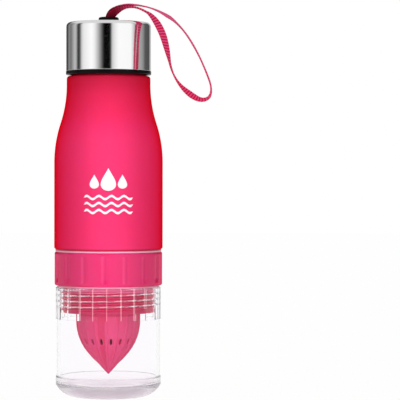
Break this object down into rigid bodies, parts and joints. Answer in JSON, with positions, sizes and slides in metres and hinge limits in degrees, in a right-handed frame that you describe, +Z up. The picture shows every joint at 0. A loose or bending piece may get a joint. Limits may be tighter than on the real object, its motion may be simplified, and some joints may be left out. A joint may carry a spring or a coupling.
{
  "type": "fruit infuser water bottle",
  "caption": "Tall round water bottle with a steel screw cap and wrist strap, a frosted body, a screw-in reamer and a clear juice cup below.",
  "frame": {"origin": "centre of the foot, on the surface that the bottle stands on", "axes": "+Z up the bottle's axis, -Y the printed front, +X the side that the strap hangs over, leaning 28 degrees to the front"},
  "size_m": [0.1028, 0.0727, 0.2527],
  "materials": {
    "clear_plastic": "clear moulded plastic, polished",
    "translucent_plastic": "translucent pink moulded plastic, glossy",
    "frosted_plastic": "frosted soft-touch pink plastic",
    "seal_silicone": "pale pink silicone",
    "black_plastic": "glossy black moulded plastic",
    "polished_steel": "polished drawn stainless steel",
    "black_rubber": "soft black rubber",
    "crimp_steel": "plain pressed metal",
    "strap_webbing": "fine ribbed woven webbing"
  },
  "bodies": {
    "cup": {"cup": "clear_plastic"},
    "cup_seal": {"cup_seal": "seal_silicone"},
    "juicer": {"juicer": "translucent_plastic"},
    "body_seal": {"body_seal": "seal_silicone"},
    "bottle": {"bottle_body": "frosted_plastic"},
    "lid_seal": {"lid_seal": "seal_silicone"},
    "lid": {"lid_liner": "black_plastic", "lid_shell": "polished_steel"},
    "strap": {"strap_grommet": "black_rubber", "strap_crimp": "crimp_steel", "strap": "strap_webbing"}
  },
  "joints": [
    {"name": "cup_rise", "type": "slide", "parent": "cup", "child": "cup_seal", "axis": [0, 0, 1], "range_m": [0, 0.0576]},
    {"name": "cup_turn", "type": "hinge", "parent": "cup_seal", "child": "juicer", "pos_m": [0, 0, 0.0718], "axis": [0, 0, 1], "range_deg": [0, 5760]},
    {"name": "bottle_turn", "type": "hinge", "parent": "juicer", "child": "body_seal", "pos_m": [0, 0, 0.0934], "axis": [0, 0, 1], "range_deg": [0, 1620]},
    {"name": "bottle_rise", "type": "slide", "parent": "body_seal", "child": "bottle", "axis": [0, 0, 1], "range_m": [0, 0.0162]},
    {"name": "lid_rise", "type": "slide", "parent": "bottle", "child": "lid_seal", "axis": [0, 0, 1], "range_m": [0, 0.0234]},
    {"name": "lid_turn", "type": "hinge", "parent": "lid_seal", "child": "lid", "pos_m": [0, 0, 0.2305], "axis": [0, 0, 1], "range_deg": [0, 2340]},
    {"name": "strap_swivel", "type": "hinge", "parent": "lid", "child": "strap", "pos_m": [0, 0, 0.2412], "axis": [0, 0, 1], "continuous": true}
  ],
  "couplings": [
    {"joint": "cup_rise", "follows": "cup_turn", "m_per_rad": 0.00057296},
    {"joint": "bottle_rise", "follows": "bottle_turn", "m_per_rad": 0.00057296},
    {"joint": "lid_rise", "follows": "lid_turn", "m_per_rad": 0.00057296}
  ]
}
